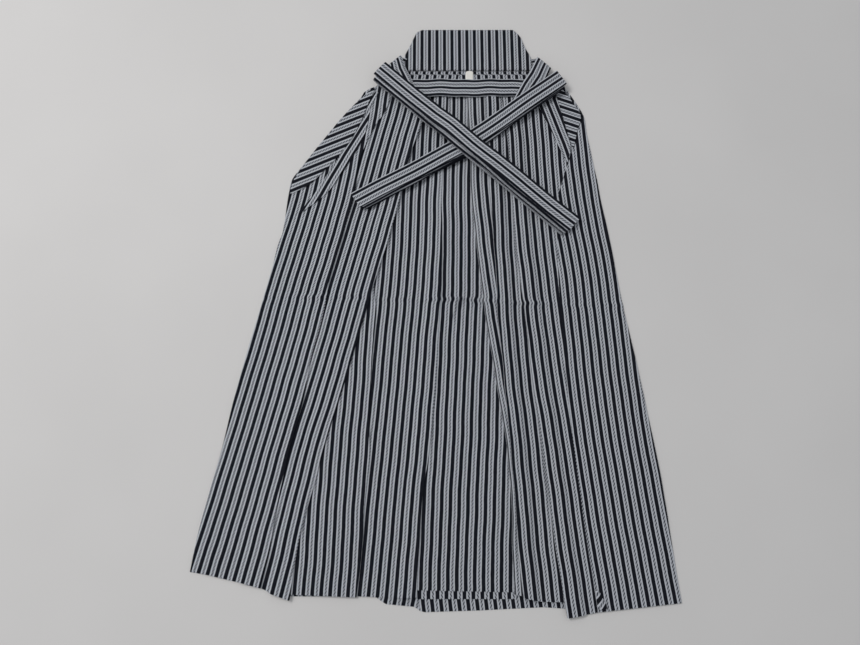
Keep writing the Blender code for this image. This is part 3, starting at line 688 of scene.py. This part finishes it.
def worsted_stripe(name, dark, light, middle, lustre, narrowing):
    """Worsted wool and polyester, yarn-dyed stripe, plain on both sides and pressed.

    It gives the eye sharp matt stripes: a wide near-black navy, and a pale grey-blue pair of lines either
    side of a mid grey bar broken by a slanting twill line.
    """
    cloth = bpy.context.scene.hakama_cloth
    material, tree = new_material(name)
    place_of = add_node(tree, "ShaderNodeUVMap", {"uv_map": STRIPE_MAP}).outputs["UV"]
    parts = add_node(tree, "ShaderNodeSeparateXYZ", Vector=place_of)
    wander = add_node(tree, "ShaderNodeTexNoise", {"Scale": 1.7, "Detail": 2.0}, Vector=place_of)
    uneven = add_node(tree, "ShaderNodeMath", {"operation": "MULTIPLY_ADD"},
                      i0=wander.outputs["Fac"], i1=0.05, i2=0.475)
    across = add_node(tree, "ShaderNodeMath", {"operation": "ADD"},
                      i0=parts.outputs["X"], i1=uneven.outputs[0])
    share = add_node(tree, "ShaderNodeMath", {"operation": "FRACT"}, i0=across.outputs[0])
    edge = cloth.yarn / REPEAT
    half = cloth.dark_width * narrowing / REPEAT / 2
    pale = half + cloth.pale_width / REPEAT
    ramp = add_node(tree, "ShaderNodeValToRGB", i0=share.outputs[0], stops=(
        (0.5 - pale - edge, middle), (0.5 - pale, light), (0.5 - half - edge, light), (0.5 - half, dark),
        (0.5 + half, dark), (0.5 + half + edge, light), (0.5 + pale, light), (0.5 + pale + edge, middle),
    ))
    white, black = (1, 1, 1), (0, 0, 0)
    bar = add_node(tree, "ShaderNodeValToRGB", i0=share.outputs[0], stops=(
        (0.5 - pale - edge, white), (0.5 - pale, black), (0.5 + pale, black), (0.5 + pale + edge, white),
    ))
    # The slanting line comes every 4 mm in the real cloth, and is drawn at 6 mm so that it shows.
    slant = add_node(tree, "ShaderNodeMath", {"operation": "MULTIPLY"},
                     i0=parts.outputs["X"], i1=-cloth.twill_slant)
    rising = add_node(tree, "ShaderNodeMath", {"operation": "ADD"},
                      i0=parts.outputs["Y"], i1=slant.outputs[0])
    pitch = add_node(tree, "ShaderNodeMath", {"operation": "MULTIPLY"},
                     i0=rising.outputs[0], i1=REPEAT / cloth.twill_pitch)
    twill = add_node(tree, "ShaderNodeMath", {"operation": "PINGPONG"}, i0=pitch.outputs[0], i1=0.5)
    line = add_node(tree, "ShaderNodeMapRange", {
        "interpolation_type": "SMOOTHSTEP", **dict(zip(RANGE, (0.16, 0.34, 1.0, 0.0))),
    }, i0=twill.outputs[0])
    hatch = add_node(tree, "ShaderNodeMath", {"operation": "MULTIPLY"},
                     i0=line.outputs[0], i1=bar.outputs["Color"])
    hatched = add_node(tree, "ShaderNodeMix", {"data_type": "RGBA", "blend_type": "MIX"},
                       Factor=hatch.outputs[0], i6=ramp.outputs["Color"],
                       i7=(*linear(cloth.twill_colour), 1))
    nap = add_node(tree, "ShaderNodeTexNoise", {"Scale": 5.2, "Detail": 6.0, "Roughness": 0.62},
                   Vector=place_of)
    shade = add_node(tree, "ShaderNodeMapRange", dict(zip(RANGE, (0.25, 0.75, 0.93, 1.07))),
                     i0=nap.outputs["Fac"])
    toned = add_node(tree, "ShaderNodeMix", {"data_type": "RGBA", "blend_type": "MULTIPLY"},
                     Factor=1.0, i6=hatched.outputs[2], i7=shade.outputs[0])
    # Threads lie 0.9 mm apart here, about twice their real spacing, so that they catch some light.
    warp, weft = (
        add_node(tree, "ShaderNodeTexWave", {
            "Scale": REPEAT / cloth.thread / 2, "bands_direction": direction, "Distortion": bend,
            "Detail": 1.0,
        }, Vector=place_of)
        for direction, bend in (("X", 1.2), ("DIAGONAL", 0.8))
    )
    weave = add_node(tree, "ShaderNodeMath", {"operation": "MULTIPLY"},
                     i0=warp.outputs["Fac"], i1=weft.outputs["Fac"])
    bump = add_node(tree, "ShaderNodeBump", {"Strength": 0.30, "Distance": 0.00018},
                    Height=weave.outputs[0])
    rough = add_node(tree, "ShaderNodeMapRange", dict(zip(RANGE, (0.2, 0.8, 0.72, 0.9))),
                     i0=nap.outputs["Fac"])
    shader = add_node(tree, "ShaderNodeBsdfPrincipled", {
        "IOR": 1.46, "Sheen Weight": lustre, "Sheen Roughness": 0.45, "Sheen Tint": (0.80, 0.84, 0.95, 1.0),
        "Specular IOR Level": 0.20,
    }, Base_Color=toned.outputs[2], Roughness=rough.outputs[0], Normal=bump.outputs["Normal"])
    add_node(tree, "ShaderNodeOutputMaterial", Surface=shader.outputs["BSDF"])
    return material


def cloth_material(for_ties=False):
    """The striped cloth, made once. The ties are the same cloth, pressed a little shinier."""
    cloth = bpy.context.scene.hakama_cloth
    name = "worsted_stripe_pressed" if for_ties else "worsted_stripe"
    found = bpy.data.materials.get(name)
    if found:
        return found
    colours = [linear(c) for c in (cloth.dark_colour, cloth.light_colour, cloth.middle_colour)]
    return worsted_stripe(name, *colours, *((0.09, 0.82) if for_ties else (0.06, 1.0)))


def moulded_plastic():
    """Polystyrene, injection moulded: smooth, slightly warm white with a soft gloss and faint scuffs."""
    material, tree = new_material("polystyrene_moulded_white")
    place_of = add_node(tree, "ShaderNodeTexCoord").outputs["Object"]
    noise = add_node(tree, "ShaderNodeTexNoise", {"Scale": 160.0, "Detail": 4.0}, Vector=place_of)
    rough = add_node(tree, "ShaderNodeMapRange", dict(zip(RANGE, (0.3, 0.7, 0.38, 0.52))),
                     i0=noise.outputs["Fac"])
    tone = add_node(tree, "ShaderNodeValToRGB", i0=noise.outputs["Fac"],
                    stops=((0.3, linear("#E4E0D8")), (0.7, linear("#F0EEE9"))))
    bump = add_node(tree, "ShaderNodeBump", {"Strength": 0.1, "Distance": 0.0001},
                    Height=noise.outputs["Fac"])
    shader = add_node(tree, "ShaderNodeBsdfPrincipled", {"IOR": 1.59}, Base_Color=tone.outputs["Color"],
                      Roughness=rough.outputs[0], Normal=bump.outputs["Normal"])
    add_node(tree, "ShaderNodeOutputMaterial", Surface=shader.outputs["BSDF"])
    return material


def floor_material():
    """A matt painted board: plain, pale and even, with the least grain."""
    stage = bpy.context.scene.hakama_stage
    material, tree = new_material("matt_paint_pale")
    place_of = add_node(tree, "ShaderNodeTexCoord").outputs["Object"]
    noise = add_node(tree, "ShaderNodeTexNoise", {"Scale": 2.2, "Detail": 3.0}, Vector=place_of)
    tone = add_node(tree, "ShaderNodeValToRGB", i0=noise.outputs["Fac"],
                    stops=((0.3, linear(stage.floor_shade)), (0.7, linear(stage.floor_colour))))
    shader = add_node(tree, "ShaderNodeBsdfPrincipled", {"Roughness": 0.9, "Specular IOR Level": 0.2},
                      Base_Color=tone.outputs["Color"])
    add_node(tree, "ShaderNodeOutputMaterial", Surface=shader.outputs["BSDF"])
    return material


# ---------------------------------------------------------------- settings


class HakamaCloth(bpy.types.PropertyGroup):
    dark_colour: StringProperty(name="Dark stripe", description="Near-black navy yarn, sRGB hex",
                                default="#0A0D17")
    light_colour: StringProperty(name="Pale line", description="Pale grey-blue yarn, sRGB hex",
                                 default="#B9BCC3")
    middle_colour: StringProperty(name="Middle bar", description="Mid grey yarn, sRGB hex", default="#A0A3A9")
    twill_colour: StringProperty(name="Twill line", description="Slanting line in the bar", default="#2B2F3A")
    dark_width: FloatProperty(name="Dark width", description="Width of the dark stripe", default=0.0061,
                              unit="LENGTH")
    pale_width: FloatProperty(name="Pale width", description="Width of each pale line", default=0.0024,
                              unit="LENGTH")
    yarn: FloatProperty(name="Yarn", description="Width over which two colours meet", default=0.0005,
                        unit="LENGTH")
    twill_pitch: FloatProperty(name="Twill pitch", description="Spacing of the slanting line along the bar",
                               default=0.0060, unit="LENGTH")
    twill_slant: FloatProperty(name="Twill slant", description="Rise of the slanting line over its run",
                               default=1.5)
    thread: FloatProperty(name="Thread spacing", description="Spacing of the raised threads", default=0.0009,
                          unit="LENGTH")
    thickness: FloatProperty(name="Cloth thickness", description="Thickness of one layer", default=0.0008,
                             unit="LENGTH")
    board_shift: FloatProperty(name="Board stripes", description="Place of a dark stripe on the board",
                               default=0.0060, unit="LENGTH")
    band_shift: FloatProperty(name="Band stripes", description="First dark stripe below the band's top",
                              default=0.0039, unit="LENGTH")
    left_shift: FloatProperty(name="Left tie stripes", description="A dark stripe from the tie's middle",
                              default=0.0, unit="LENGTH")
    right_shift: FloatProperty(name="Right tie stripes", description="A dark stripe from the tie's middle",
                               default=0.0025, unit="LENGTH")


class HakamaLay(bpy.types.PropertyGroup):
    crease: FloatProperty(name="Crease", description="Scale of the height of the creases", default=1.0)
    swell: FloatProperty(name="Swell", description="Height of the slow waves of the cloth", default=0.0016,
                         unit="LENGTH")
    wander: FloatProperty(name="Wander", description="Sideways wander of the stripes", default=0.0006,
                          unit="LENGTH")


class HakamaStage(bpy.types.PropertyGroup):
    floor_colour: StringProperty(name="Floor", description="Colour of the floor, sRGB hex", default="#D7D5D4")
    floor_shade: StringProperty(name="Floor shade", description="Its darker patches, sRGB hex",
                                default="#D2D0CF")
    camera_place: FloatVectorProperty(name="Camera", description="Place of the camera", size=3,
                                      default=(-0.008, -0.339, 1.245), subtype="TRANSLATION", unit="LENGTH")
    camera_tilt: FloatProperty(name="Tilt", description="Tilt of the camera from straight down",
                               default=math.radians(13), subtype="ANGLE", unit="ROTATION")
    camera_lens: FloatProperty(name="Lens", description="Focal length in millimetres", default=29.3)
    key_light: FloatProperty(name="Window light", description="Power of the large soft light", default=50.0)
    fill_light: FloatProperty(name="Room light", description="Strength of the light all round", default=0.47)


# ---------------------------------------------------------------- pieces


class HAKAMA_OT_fronts(bpy.types.Operator):
    """Make the two pleated front panels"""

    bl_idname = "hakama.fronts"
    bl_label = "Front panels"

    def execute(self, context):
        y = panel_lines(FRONT_ROWS[0][0])
        columns = read_table(FRONT_COLUMNS, FRONT_ROWS, y)
        for node, folds in (("front_left", LEFT_FOLDS), ("front_right", RIGHT_FOLDS)):
            points, places = folded_grid(columns, y, folds)
            lay_cloth(node, points, places)
        return {"FINISHED"}


class HAKAMA_OT_backs(bpy.types.Operator):
    """Make the two halves of the back, the right one with the strip that wraps over its side"""

    bl_idname = "hakama.backs"
    bl_label = "Back panels"

    def execute(self, context):
        y = panel_lines(BACK_ROWS[0][0])
        at = read_table(BACK_COLUMNS, BACK_ROWS, y)
        back_hem, over_hem = tuple(zip(*BACK_HEM)), tuple(zip(*OVER_HEM))
        share = np.linspace(0, 1, BACK_POINTS)

        def lay_back(node, run, stations):
            """A half of the back, from stations across it: x, height and hem."""
            x, z, hems = zip(*stations)
            rise = np.stack([np.interp(column, *hem) for column, hem in zip(x, hems)], 1)
            heights = np.stack([np.full_like(y, height) for height in z], 1)
            points = np.stack([np.stack(x, 1), sloped(y[:, None], rise), heights], -1)
            mark = np.stack([stripe_place(run, column, y, {}) for column in x], 1)
            mark = mark + WAIST_JOG * smooth_step(y, *WAIST_JOG_AT)[:, None]
            lay_cloth(node, points, np.stack([mark, points[..., 1] / REPEAT], -1))

        middle = SOLID_CLOTH / 2
        width = at["seam"] - SEAM_GAP - at["left"]
        lay_back("back_left", "outer", [(at["left"] + width * s, middle, back_hem) for s in share])
        turn = LEVEL / 2
        reach = turn * lean_of(at["right"], y)
        width = at["right"] - reach - at["seam"]
        stations = [(at["seam"] + width * s, middle, back_hem) for s in share]
        for k in range(1, TURN_POINTS):
            angle = math.pi * k / TURN_POINTS
            stations.append((at["right"] - reach * (1 - math.sin(angle)),
                             middle + turn * (1 - math.cos(angle)), back_hem))
        width = at["over"] - at["right"] + reach
        stations += [(at["right"] - reach + width * s, middle + LEVEL, over_hem)
                     for s in np.linspace(0, 1, OVER_POINTS)]
        lay_back("back_right", "wrap", stations)
        return {"FINISHED"}


class HAKAMA_OT_small_pieces(bpy.types.Operator):
    """Make the gusset and the turned-in edges of the side slits"""

    bl_idname = "hakama.small_pieces"
    bl_label = "Gusset and slit edges"

    def execute(self, context):
        cloth = context.scene.hakama_cloth
        # node, its rows, points across, lean of its stripes, shift of them, what lies under it
        pieces = (
            ("gusset", GUSSET_ROWS, 24, 90.0, 0.004, "back_right"),
            ("back_slit_turn_left", BACK_LEFT_TURN, 14, 24.0, 0.002, "back_left"),
            ("back_slit_turn_right", BACK_RIGHT_TURN, 10, -20.0, 0.006, "back_right"),
            ("front_slit_turn_left", FRONT_LEFT_TURN, 9, 62.0, 0.003, "front_left"),
            ("front_slit_turn_right", FRONT_RIGHT_TURN, 12, -73.0, 0.003, "front_right"),
        )
        for node, rows, across, lean, shift, under in pieces:
            points, places = flat_grid(rows, across, SMALL_ROW, lean, shift)
            lay_cloth(node, points, places)
        points, places = flat_grid(HEM_CORNER, 8, CORNER_ROW, 52.0, 0.0)
        points[..., 2] += CORNER_CURL * np.sin(np.linspace(0, math.pi, points.shape[1]))[None, :]
        piece = shell("hem_corner_cloth", settled(points), places, cloth.thickness, cloth_material())
        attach(piece, BODY)
        return {"FINISHED"}


class HAKAMA_OT_board(bpy.types.Operator):
    """Make the stiff back board, covered in the cloth"""

    bl_idname = "hakama.board"
    bl_label = "Back board"

    def execute(self, context):
        low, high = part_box("back_board")
        thick = high.z - low.z
        y = lines_of(high.y, low.y, BOARD_ROW)
        at = read_table(("y", "left", "right"), BOARD_ROWS, y)
        x = spread(at["left"], at["right"], (1 - np.cos(np.linspace(0, math.pi, BOARD_POINTS))) / 2)
        side = np.minimum(x - at["left"][:, None], at["right"][:, None] - x)
        round_off = np.ones_like(x)
        for reach in (side, (high.y - y)[:, None], (y - low.y)[:, None]):
            part = np.clip((reach + BOARD_RIM) / BOARD_ROLL, 0, 1)
            round_off *= np.sqrt(np.clip(1 - (1 - part) ** 2, 0.02, 1))
        pad = BOARD_PAD * np.sin(x * 61.0 + y[:, None] * 23.0)
        middle = np.stack([x, np.broadcast_to(y[:, None], x.shape), np.full_like(x, thick / 2)], -1)
        half = (thick / 2 - BOARD_ROOM) * round_off
        upper = middle + upward(half + pad * round_off)
        lower = middle - upward(half)
        shift = context.scene.hakama_cloth.board_shift
        places = np.stack([(x - shift) / REPEAT, np.broadcast_to(y[:, None], x.shape) / REPEAT], -1)
        piece = two_sided("back_board_cloth", upper, lower, places, cloth_material())
        place(piece, "back_board")
        return {"FINISHED"}


class HAKAMA_OT_band(bpy.types.Operator):
    """Make the front waistband"""

    bl_idname = "hakama.band"
    bl_label = "Front waistband"

    def execute(self, context):
        low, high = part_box("front_band")
        y = np.linspace(high.y, low.y, BAND_ROWS)
        x = np.linspace(low.x, high.x, BAND_POINTS)
        wave = 0.0007 * np.sin(x * 58 + 0.8) + 0.0005 * np.sin(x * 131)
        grid_x, grid_y = np.meshgrid(x, y)
        share = np.linspace(-1, 1, BAND_ROWS)[:, None]
        rise = 0.0005 * np.sin(grid_x * 75 + 0.4) + 0.0004 * np.sin(grid_x * 38 + grid_y * 160)
        rise = rise * np.sin(math.pi * (grid_x - low.x) / (high.x - low.x))
        z = (low.z + high.z) / 2 + rise * (1 - share ** 2) + BAND_CLEAR
        points = np.stack([grid_x, grid_y + wave[None, :], z], -1)
        shift = context.scene.hakama_cloth.band_shift
        places = np.stack([(high.y - grid_y - shift) / REPEAT, grid_x / REPEAT], -1)
        piece = shell("front_band_cloth", points, places, BAND_CLOTH, cloth_material(for_ties=True))
        place(piece, "front_band")
        return {"FINISHED"}


class HAKAMA_OT_tab(bpy.types.Operator):
    """Make the white tab under the back board"""

    bl_idname = "hakama.tab"
    bl_label = "White tab"

    def execute(self, context):
        low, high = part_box("back_tab")
        y = np.linspace(high.y, low.y, TAB_ROWS)
        lean = (high.x - low.x - TAB_WIDTH) / (high.y - low.y)
        centre = (low.x + high.x) / 2 + lean * (y - (low.y + high.y) / 2)
        ends = np.minimum(high.y - y, y - low.y)
        part = np.clip((ends + TAB_RIM) / TAB_ROUND, 0, 1)
        half = TAB_WIDTH / 2 * np.sqrt(np.clip(1 - (1 - part) ** 2, 0, 1))
        share = np.linspace(-1, 1, TAB_POINTS)
        x = centre[:, None] + half[:, None] * share[None, :]
        z = np.full_like(x, (low.z + high.z) / 2)
        middle = np.stack([x, np.broadcast_to(y[:, None], x.shape), z], -1)
        crown = (1 - share ** 4)[None, :] * TAB_CROWN + TAB_EDGE
        up = upward(np.broadcast_to(crown, x.shape))
        places = np.stack([x, middle[..., 1]], -1) / REPEAT
        piece = two_sided("back_tab_plastic", middle + up, middle - up, places, moulded_plastic())
        place(piece, "back_tab")
        return {"FINISHED"}


def bundle_stations(bundle, base, runs):
    """Stations of a tie that runs to and fro through its bundle: x, y, height and direction of its width."""
    first, middle, last = (np.array(p) for p in bundle)
    heading = math.atan2(last[1] - first[1], last[0] - first[0]) + math.pi / 2
    base_at, base_z = zip(*base)
    stations = []
    for level, start, end, shift_start, shift_end in runs:
        steps = max(2, round(abs(end - start) * 80))
        for k in range(steps + 1):
            part = k / steps
            share = start + (end - start) * part
            if share < 0.5:
                here = first + (middle - first) * 2 * share
            else:
                here = middle + (last - middle) * (2 * share - 1)
            shift = shift_start + (shift_end - shift_start) * part
            shift += TIE_WANDER * math.sin(math.pi * part) * math.sin(15 * share + 2.3 * level)
            z = float(np.interp(share, base_at, base_z)) + TIE_CLOTH / 2 + level * TIE_LEVEL
            x, y = here[0] + shift * math.cos(heading), here[1] + shift * math.sin(heading)
            stations.append((x, y, z, heading))
    return stations


def tie_path(stations):
    """The stations with rounded turns where two of them share a place."""
    path = []
    for i, here in enumerate(stations):
        path.append(here)
        if i + 1 == len(stations) or i == 0:
            continue
        there = stations[i + 1]
        if math.hypot(there[0] - here[0], there[1] - here[1]) > TIE_REACH:
            continue
        before = stations[i - 1]
        out = np.array((here[0] - before[0], here[1] - before[1]))
        out /= max(np.linalg.norm(out), 1e-9)
        radius = min(TIE_REACH, abs(there[2] - here[2]) / 2)
        for k in range(1, TURN_POINTS):
            angle = math.pi * k / TURN_POINTS
            share = k / TURN_POINTS
            x = here[0] + (there[0] - here[0]) * share + out[0] * radius * math.sin(angle)
            y = here[1] + (there[1] - here[1]) * share + out[1] * radius * math.sin(angle)
            z = (here[2] + there[2]) / 2 + (here[2] - there[2]) / 2 * math.cos(angle)
            path.append((x, y, z, here[3] + (there[3] - here[3]) * share))
    return path


def rounded_root(root):
    """The stations where a tie leaves the garment, with a half round where it doubles back over itself."""
    start, low, high, *rest = root
    angle = math.radians(low[3])
    out = np.array((-math.sin(angle), math.cos(angle)))
    radius = (high[2] - low[2]) / 2
    centre = np.array(low[:2]) - radius * out
    stations = [(*start[:3], math.radians(start[3]))]
    for k in range(ROOT_POINTS + 1):
        turn = math.pi * (k / ROOT_POINTS - 0.5)
        x, y = centre + radius * math.cos(turn) * out
        stations.append((x, y, (low[2] + high[2]) / 2 + radius * math.sin(turn), angle))
    for x, y, z, degrees in rest:
        before = np.array(stations[-1])
        after = np.array((x, y, z, math.radians(degrees)))
        stations += [tuple(before + (after - before) * k / ROOT_POINTS) for k in range(1, ROOT_POINTS + 1)]
    return stations


def make_tie(node, path, width, shift):
    """One tie, a tube of cloth pressed flat along its path."""
    centre = np.array([p[:3] for p in path])
    angle = np.array([p[3] for p in path])
    side = np.stack([np.cos(angle), np.sin(angle), np.zeros_like(angle)], -1)
    share = np.linspace(-1, 1, TIE_POINTS)
    length = np.concatenate([[0], np.cumsum(np.linalg.norm(np.diff(centre, axis=0), axis=1))])
    up = np.cross(np.gradient(centre, axis=0), side)
    up /= np.maximum(np.linalg.norm(up, axis=1, keepdims=True), 1e-12)
    share = np.concatenate([share, share[-2:0:-1]])
    face = np.where(np.arange(len(share)) < TIE_POINTS, 1.0, -1.0)
    bulge = face * np.sqrt(1 - np.abs(share) ** 8)
    rings = []
    for reach, half in ((width / 2, TIE_OUTSIDE), (width / 2 - TIE_WALL, TIE_INSIDE)):
        flat = side[:, None, :] * (share * reach)[None, :, None]
        rings.append(centre[:, None, :] + flat + up[:, None, :] * (bulge * half)[None, :, None])
    # The stripe goes on round one edge of the tube, so its two faces show it at different places.
    round_tube = np.where(face > 0, share * width / 2, width - share * width / 2)
    across = np.broadcast_to((round_tube - shift)[None, :], rings[0].shape[:2])
    along = np.broadcast_to(length[:, None], across.shape)
    places = np.stack([across, along], -1) / REPEAT
    piece = flat_tube(node + "_cloth", rings, places, cloth_material(for_ties=True))
    place(piece, node)


class HAKAMA_OT_ties(bpy.types.Operator):
    """Make the four ties, folded to and fro into two crossed bundles"""

    bl_idname = "hakama.ties"
    bl_label = "Ties"

    def execute(self, context):
        band_low, band_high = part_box("front_band")
        band_y = (band_low.y + band_high.y) / 2
        band_z = (band_low.z + band_high.z) / 2
        cloth = context.scene.hakama_cloth
        right = math.pi / 2
        left_back = rounded_root(LEFT_BACK_ROOT)
        left_back += tie_path(bundle_stations(LEFT_BUNDLE, LEFT_BASE, LEFT_BACK_RUNS))
        right_back = rounded_root(RIGHT_BACK_ROOT)
        right_back += tie_path(bundle_stations(RIGHT_BUNDLE, RIGHT_BASE, RIGHT_BACK_RUNS))
        left_front = [(band_low.x - BAND_GAP, band_y, band_z, right)]
        left_front = tie_path(left_front + bundle_stations(LEFT_BUNDLE, LEFT_BASE, LEFT_FRONT_RUNS))
        right_front = [(band_high.x + BAND_GAP, band_y, band_z, -right)]
        right_front = tie_path(right_front + bundle_stations(RIGHT_BUNDLE, RIGHT_BASE, RIGHT_FRONT_RUNS))
        make_tie("back_tie_left", left_back, BACK_TIE_WIDTH, cloth.left_shift + REPEAT / 2)
        make_tie("back_tie_right", right_back, BACK_TIE_WIDTH, cloth.right_shift)
        make_tie("front_tie_left", left_front, TIE_WIDTH, cloth.left_shift)
        make_tie("front_tie_right", right_front, TIE_WIDTH, cloth.right_shift)
        return {"FINISHED"}


class HAKAMA_OT_stage(bpy.types.Operator):
    """Make the floor, the light and the camera"""

    bl_idname = "hakama.stage"
    bl_label = "Stage"

    def execute(self, context):
        stage = context.scene.hakama_stage
        mesh = bpy.data.meshes.new("floor")
        half = 6.0
        mesh.from_pydata([(-half, -half, 0), (half, -half, 0), (half, half, 0), (-half, half, 0)], [],
                         [(0, 1, 2, 3)])
        mesh.materials.append(floor_material())
        floor = bpy.data.objects.new("floor", mesh)
        context.scene.collection.objects.link(floor)
        data = bpy.data.lights.new("window", "AREA")
        data.shape = "RECTANGLE"
        data.size, data.size_y = 1.5, 1.1
        data.energy = stage.key_light
        data.color = (1.0, 0.985, 0.965)
        lamp = bpy.data.objects.new("window", data)
        lamp.location = (-1.75, 0.85, 2.70)
        aim = np.array((0.02, -0.02, 0.0)) - np.array(lamp.location)
        lamp.rotation_euler = (math.atan2(math.hypot(aim[0], aim[1]), -aim[2]), 0,
                               math.atan2(aim[1], aim[0]) - math.pi / 2)
        context.scene.collection.objects.link(lamp)
        world = bpy.data.worlds.new("room")
        world.use_nodes = True
        background = world.node_tree.nodes["Background"]
        background.inputs["Color"].default_value = (0.94, 0.97, 1.0, 1.0)
        background.inputs["Strength"].default_value = stage.fill_light
        context.scene.world = world
        context.scene.view_settings.view_transform = "Standard"
        lens = bpy.data.cameras.new("camera")
        lens.lens = stage.camera_lens
        lens.sensor_width = 36.0
        camera = bpy.data.objects.new("camera", lens)
        camera.location = stage.camera_place
        camera.rotation_euler = (stage.camera_tilt, 0, 0)
        context.scene.collection.objects.link(camera)
        context.scene.camera = camera
        return {"FINISHED"}


STEPS = ("stage", "backs", "small_pieces", "fronts", "board", "tab", "band", "ties")


class HAKAMA_PT_panel(bpy.types.Panel):
    """The steps that build the trousers, and their settings"""

    bl_label = "Hakama"
    bl_idname = "HAKAMA_PT_panel"
    bl_space_type = "VIEW_3D"
    bl_region_type = "UI"
    bl_category = "Hakama"

    def draw(self, context):
        for step in STEPS:
            self.layout.operator("hakama." + step)
        for group in ("hakama_cloth", "hakama_lay", "hakama_stage"):
            settings = getattr(context.scene, group)
            box = self.layout.box()
            for name in settings.__annotations__:
                box.prop(settings, name)


CLASSES = (
    HakamaCloth, HakamaLay, HakamaStage, HAKAMA_OT_fronts, HAKAMA_OT_backs, HAKAMA_OT_small_pieces,
    HAKAMA_OT_board, HAKAMA_OT_band, HAKAMA_OT_tab, HAKAMA_OT_ties, HAKAMA_OT_stage, HAKAMA_PT_panel,
)


def register():
    for each in CLASSES:
        bpy.utils.register_class(each)
    bpy.types.Scene.hakama_cloth = PointerProperty(type=HakamaCloth)
    bpy.types.Scene.hakama_lay = PointerProperty(type=HakamaLay)
    bpy.types.Scene.hakama_stage = PointerProperty(type=HakamaStage)


def unregister():
    del bpy.types.Scene.hakama_stage
    del bpy.types.Scene.hakama_lay
    del bpy.types.Scene.hakama_cloth
    for each in reversed(CLASSES):
        bpy.utils.unregister_class(each)


def main():
    register()
    for step in STEPS:
        getattr(bpy.ops.hakama, step)()


if __name__ == "__main__":
    main()
